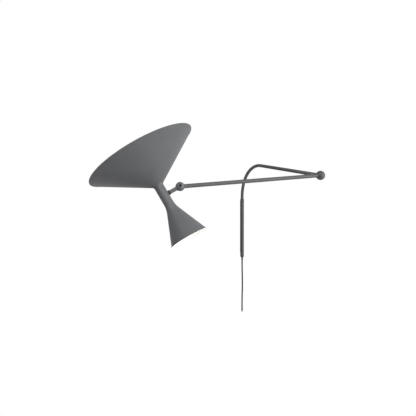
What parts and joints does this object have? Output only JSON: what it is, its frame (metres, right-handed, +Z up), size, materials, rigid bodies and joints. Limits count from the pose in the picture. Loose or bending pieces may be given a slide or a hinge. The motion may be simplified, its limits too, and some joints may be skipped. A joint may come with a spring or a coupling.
{
  "type": "swing arm wall sconce",
  "caption": "Wall lamp on a cane-shaped swing arm, a jointed second arm and a tilting head with a wide upward shade and a narrow downward shade",
  "frame": {"origin": "the middle of the wall bar's back face, on the wall", "axes": "+Y points into the wall, +Z up, +X to the right seen from the room; the lamp stands out along -Y"},
  "size_m": [0.9456, 1.1095, 1.0704],
  "materials": {
    "grey_paint": "matt dark grey powder coat",
    "shade_paint": "spun, matt dark grey paint outside and white inside",
    "zinc_steel": "bright zinc plate",
    "black_steel": "black oxide",
    "dark_nylon": "matt",
    "black_rubber": "matt",
    "white_pvc": "satin",
    "white_plastic": "satin",
    "bulb_cap": "rolled thread",
    "opal_glass": "frosted"
  },
  "bodies": {
    "wall_mount": {"wall_bar": "grey_paint", "bar_pins": "zinc_steel", "tube_posts": "grey_paint", "post_screws": "black_steel", "wall_tube": "grey_paint", "upper_bush": "dark_nylon", "lower_bush": "dark_nylon", "retaining_screw": "black_steel", "strain_relief": "black_rubber", "supply_lead": "black_rubber", "lead_end_cap": "black_rubber"},
    "inner_arm": {"first_arm": "grey_paint", "arm_collar": "grey_paint", "collar_screw": "black_steel", "first_arm_wires": "white_pvc", "elbow_lower_half": "grey_paint", "elbow_friction_ring": "dark_nylon", "elbow_screw": "black_steel", "elbow_washer": "zinc_steel", "elbow_nut": "zinc_steel"},
    "outer_arm": {"second_arm": "grey_paint", "second_arm_wires": "white_pvc", "elbow_upper_half": "grey_paint", "roll_screw": "black_steel"},
    "head_knuckle": {"head_rear_half": "grey_paint", "head_friction_ring": "dark_nylon", "head_screw": "black_steel", "head_washer": "zinc_steel", "head_nut": "zinc_steel"},
    "lamp_head": {"head_front_half": "grey_paint", "stub_tube": "grey_paint", "stub_collar": "dark_nylon", "stub_nipple": "zinc_steel", "stub_nut": "zinc_steel", "neck_tube": "grey_paint", "big_shade": "shade_paint", "big_shade_ring": "white_plastic", "small_shade": "shade_paint", "small_shade_ring": "white_plastic", "upper_disc": "zinc_steel", "lower_disc": "zinc_steel", "upper_holder": "white_plastic", "lower_holder": "white_plastic", "upper_bulb_cap": "bulb_cap", "upper_bulb_glass": "opal_glass", "lower_bulb_cap": "bulb_cap", "lower_bulb_glass": "opal_glass", "head_wires": "white_pvc"}
  },
  "joints": [
    {"name": "arm_swing", "type": "hinge", "parent": "wall_mount", "child": "inner_arm", "pos_m": [0, -0.04, 0.155], "axis": [0, 0, 1], "range_deg": [-112, 58]},
    {"name": "elbow_swing", "type": "hinge", "parent": "inner_arm", "child": "outer_arm", "pos_m": [0.29963, -0.62806, 0.355], "axis": [0, 0, 1], "range_deg": [-30, 210]},
    {"name": "head_roll", "type": "hinge", "parent": "outer_arm", "child": "head_knuckle", "pos_m": [-0.28843, -0.9277, 0.355], "axis": [-0.891, -0.454, 0], "range_deg": [-112.5, 67.5]},
    {"name": "head_tilt", "type": "hinge", "parent": "head_knuckle", "child": "lamp_head", "pos_m": [-0.28843, -0.9277, 0.355], "axis": [0.0894, -0.9288, 0.3596], "range_deg": [-50, 40]}
  ]
}
